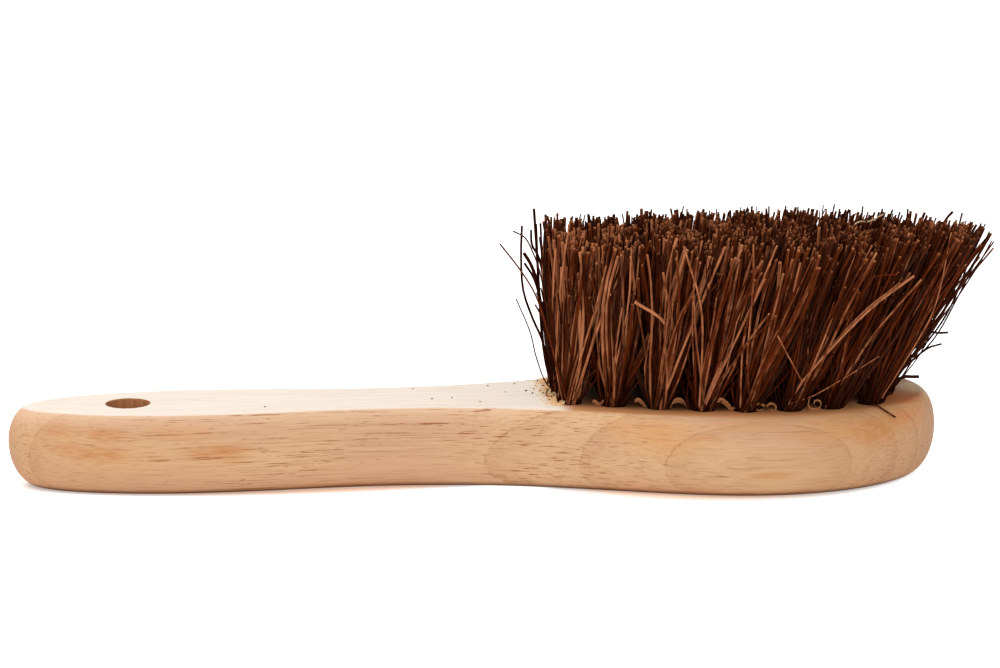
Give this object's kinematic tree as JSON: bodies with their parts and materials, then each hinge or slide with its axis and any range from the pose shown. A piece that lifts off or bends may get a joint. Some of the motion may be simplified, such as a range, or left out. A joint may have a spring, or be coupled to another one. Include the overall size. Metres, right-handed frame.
{
  "type": "wok brush",
  "caption": "Wooden hand brush for cleaning a wok: one shaped hardwood block with a hanging hole, a slim neck and an oval head set with stiff, splayed palm-fibre tufts.",
  "frame": {"origin": "on the block's flat back, under the middle of the block's length", "axes": "+X along the block towards the head, +Z out of the face that carries the bristles, +Y across"},
  "size_m": [0.2666, 0.0799, 0.0687],
  "materials": {
    "hardwood": "bare, sanded",
    "palm_fibre": "rough natural fibre",
    "steel_wire": "drawn wire"
  },
  "bodies": {
    "root": {"handle_block": "hardwood", "bristles_heel": "palm_fibre", "bristles_waist": "palm_fibre", "bristles_belly": "palm_fibre", "bristles_toe": "palm_fibre", "staple_01": "steel_wire", "staple_02": "steel_wire", "staple_03": "steel_wire", "staple_04": "steel_wire", "staple_05": "steel_wire", "staple_06": "steel_wire", "staple_07": "steel_wire", "staple_08": "steel_wire", "staple_09": "steel_wire", "staple_10": "steel_wire", "staple_11": "steel_wire", "staple_12": "steel_wire", "staple_13": "steel_wire", "staple_14": "steel_wire", "staple_15": "steel_wire", "staple_16": "steel_wire", "staple_17": "steel_wire", "staple_18": "steel_wire", "staple_19": "steel_wire", "staple_20": "steel_wire", "staple_21": "steel_wire", "staple_22": "steel_wire", "staple_23": "steel_wire", "staple_24": "steel_wire", "staple_25": "steel_wire", "staple_26": "steel_wire", "staple_27": "steel_wire", "staple_28": "steel_wire", "staple_29": "steel_wire", "staple_30": "steel_wire", "staple_31": "steel_wire", "staple_32": "steel_wire", "staple_33": "steel_wire", "staple_34": "steel_wire", "staple_35": "steel_wire", "staple_36": "steel_wire", "staple_37": "steel_wire", "staple_38": "steel_wire", "staple_39": "steel_wire", "staple_40": "steel_wire"}
  },
  "joints": []
}
